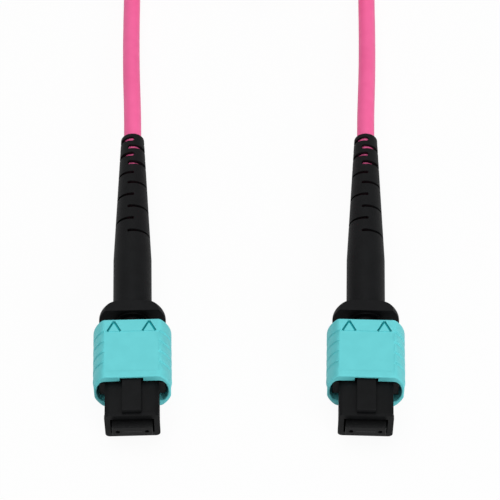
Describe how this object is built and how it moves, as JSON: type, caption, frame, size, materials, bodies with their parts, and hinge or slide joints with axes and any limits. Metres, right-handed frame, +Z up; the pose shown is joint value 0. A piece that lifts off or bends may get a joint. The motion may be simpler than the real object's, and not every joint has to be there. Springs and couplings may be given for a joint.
{
  "type": "multi-fibre patch cable",
  "caption": "Fibre patch cable with a push-pull multi-fibre plug and a slit strain relief boot on each end, its spare length tied in a coil.",
  "frame": {"origin": "on the surface that the cable lies on, under the middle of the two plugs and their boots", "axes": "+X from the left plug to the right one, +Y from the plugs' mouths to the cable, +Z up"},
  "size_m": [0.0506, 0.1487, 0.0139],
  "materials": {
    "aqua_plastic": "moulded, fine satin",
    "black_plastic": "moulded, satin",
    "ferrule_plastic": "glass-filled, ground end face",
    "boot_rubber": "moulded elastomer, dull",
    "cable_jacket": "extruded jacket, satin",
    "spring_steel": "drawn wire",
    "clamp_steel": "stamped",
    "crimp_metal": "turned, pressed flats",
    "yarn": "loose fibres",
    "ribbon": "coated fibres side by side",
    "soft_boot": "moulded",
    "tie_strap": "hook-and-loop strap, napped"
  },
  "bodies": {
    "cable": {"cable_run_a": "cable_jacket", "cable_run_b": "cable_jacket", "cable_coil": "cable_jacket", "cable_tie_near": "tie_strap", "cable_tie_far": "tie_strap", "ferrule_spring_a": "spring_steel", "fibre_ribbon_a": "ribbon", "plug_housing_a": "black_plastic", "coupling_spring_left_a": "spring_steel", "coupling_spring_right_a": "spring_steel", "spring_push_a": "black_plastic", "aramid_yarn_a": "yarn", "crimp_ring_a": "crimp_metal", "strain_relief_boot_a": "boot_rubber", "cable_end_a": "cable_jacket", "ferrule_spring_b": "spring_steel", "fibre_ribbon_b": "ribbon", "plug_housing_b": "black_plastic", "coupling_spring_left_b": "spring_steel", "coupling_spring_right_b": "spring_steel", "spring_push_b": "black_plastic", "aramid_yarn_b": "yarn", "crimp_ring_b": "crimp_metal", "strain_relief_boot_b": "boot_rubber", "cable_end_b": "cable_jacket"},
    "sleeve_a": {"coupling_sleeve_a": "aqua_plastic"},
    "ferrule_set_a": {"ferrule_a": "ferrule_plastic", "ferrule_boot_a": "soft_boot", "pin_clamp_a": "clamp_steel"},
    "sleeve_b": {"coupling_sleeve_b": "aqua_plastic"},
    "ferrule_set_b": {"ferrule_b": "ferrule_plastic", "ferrule_boot_b": "soft_boot", "pin_clamp_b": "clamp_steel"}
  },
  "joints": [
    {"name": "sleeve_a_pull", "type": "slide", "parent": "cable", "child": "sleeve_a", "axis": [-0.0305, 0.9995, 0], "range_m": [0, 0.0022], "stiffness_N_per_m": 200, "deforming": ["coupling_spring_left_a", "coupling_spring_right_a"]},
    {"name": "ferrule_a_push", "type": "slide", "parent": "cable", "child": "ferrule_set_a", "axis": [-0.0305, 0.9995, 0], "range_m": [0, 0.0008], "stiffness_N_per_m": 500, "deforming": ["ferrule_spring_a", "fibre_ribbon_a"]},
    {"name": "sleeve_b_pull", "type": "slide", "parent": "cable", "child": "sleeve_b", "axis": [0.0305, 0.9995, 0], "range_m": [0, 0.0022], "stiffness_N_per_m": 200, "deforming": ["coupling_spring_left_b", "coupling_spring_right_b"]},
    {"name": "ferrule_b_push", "type": "slide", "parent": "cable", "child": "ferrule_set_b", "axis": [0.0305, 0.9995, 0], "range_m": [0, 0.0008], "stiffness_N_per_m": 500, "deforming": ["ferrule_spring_b", "fibre_ribbon_b"]}
  ]
}
